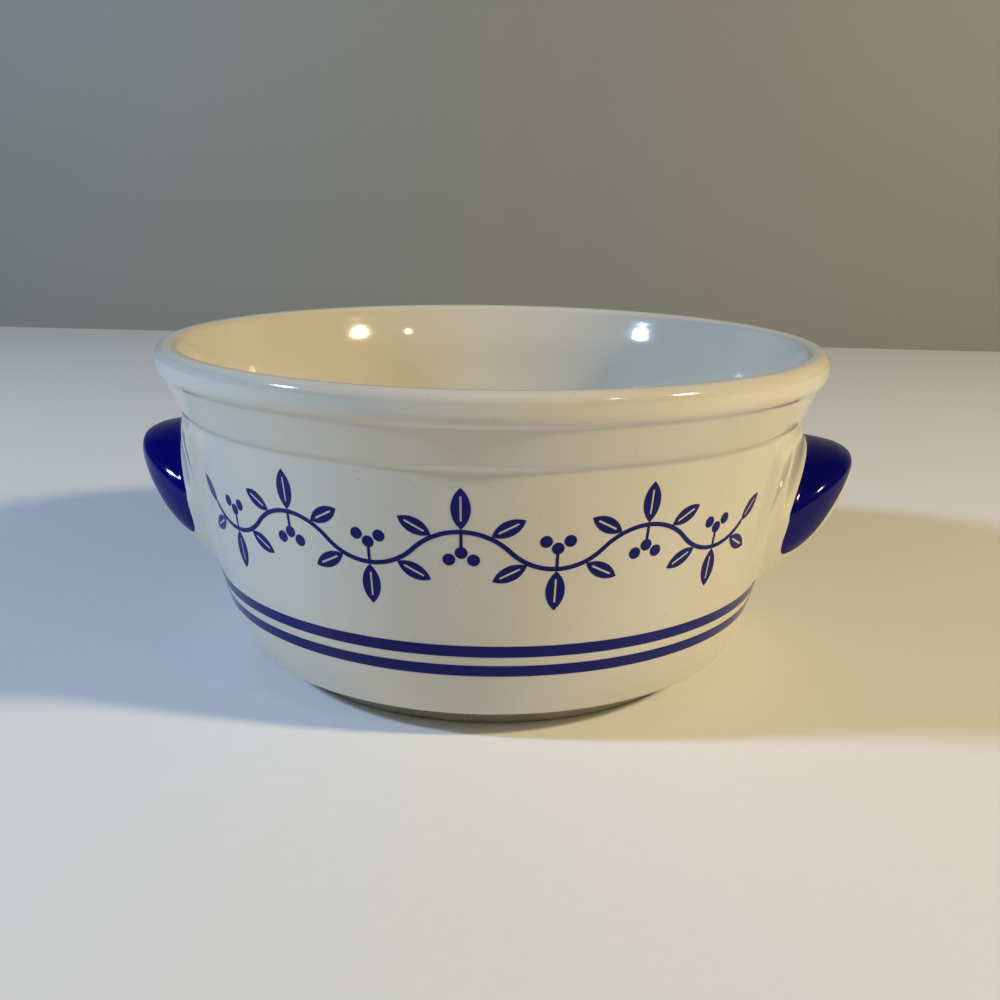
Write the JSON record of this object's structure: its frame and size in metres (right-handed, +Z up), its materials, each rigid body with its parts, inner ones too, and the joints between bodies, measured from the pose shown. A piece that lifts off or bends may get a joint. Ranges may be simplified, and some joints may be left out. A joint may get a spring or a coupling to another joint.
{
  "type": "lug soup bowl",
  "caption": "Round glazed soup bowl with a flared collar, two solid half-moon lugs, a foot ring, painted bands and a printed vine on the front.",
  "frame": {"origin": "centre of the foot ring's lower face, on the table, on the bowl's axis", "axes": "+Z up along the bowl's axis, +X through the right-hand lug, -Y towards the printed front"},
  "size_m": [0.1698, 0.1524, 0.0737],
  "materials": {
    "ivory_glaze": "smooth glossy ivory glaze",
    "bare_clay": "matt unglazed stoneware",
    "cobalt_glaze": "glossy cobalt blue under clear glaze",
    "cobalt_print": "cobalt blue print under clear glaze"
  },
  "bodies": {
    "root": {"bowl_body": "ivory_glaze", "foot_ring": "bare_clay", "lug_right": "ivory_glaze", "lug_left": "ivory_glaze", "lug_blue_right": "cobalt_glaze", "lug_blue_left": "cobalt_glaze", "upper_band": "cobalt_print", "lower_band": "cobalt_print", "vine_stem": "cobalt_print", "vine_leaves": "cobalt_print", "vine_berries": "cobalt_print"}
  },
  "joints": []
}
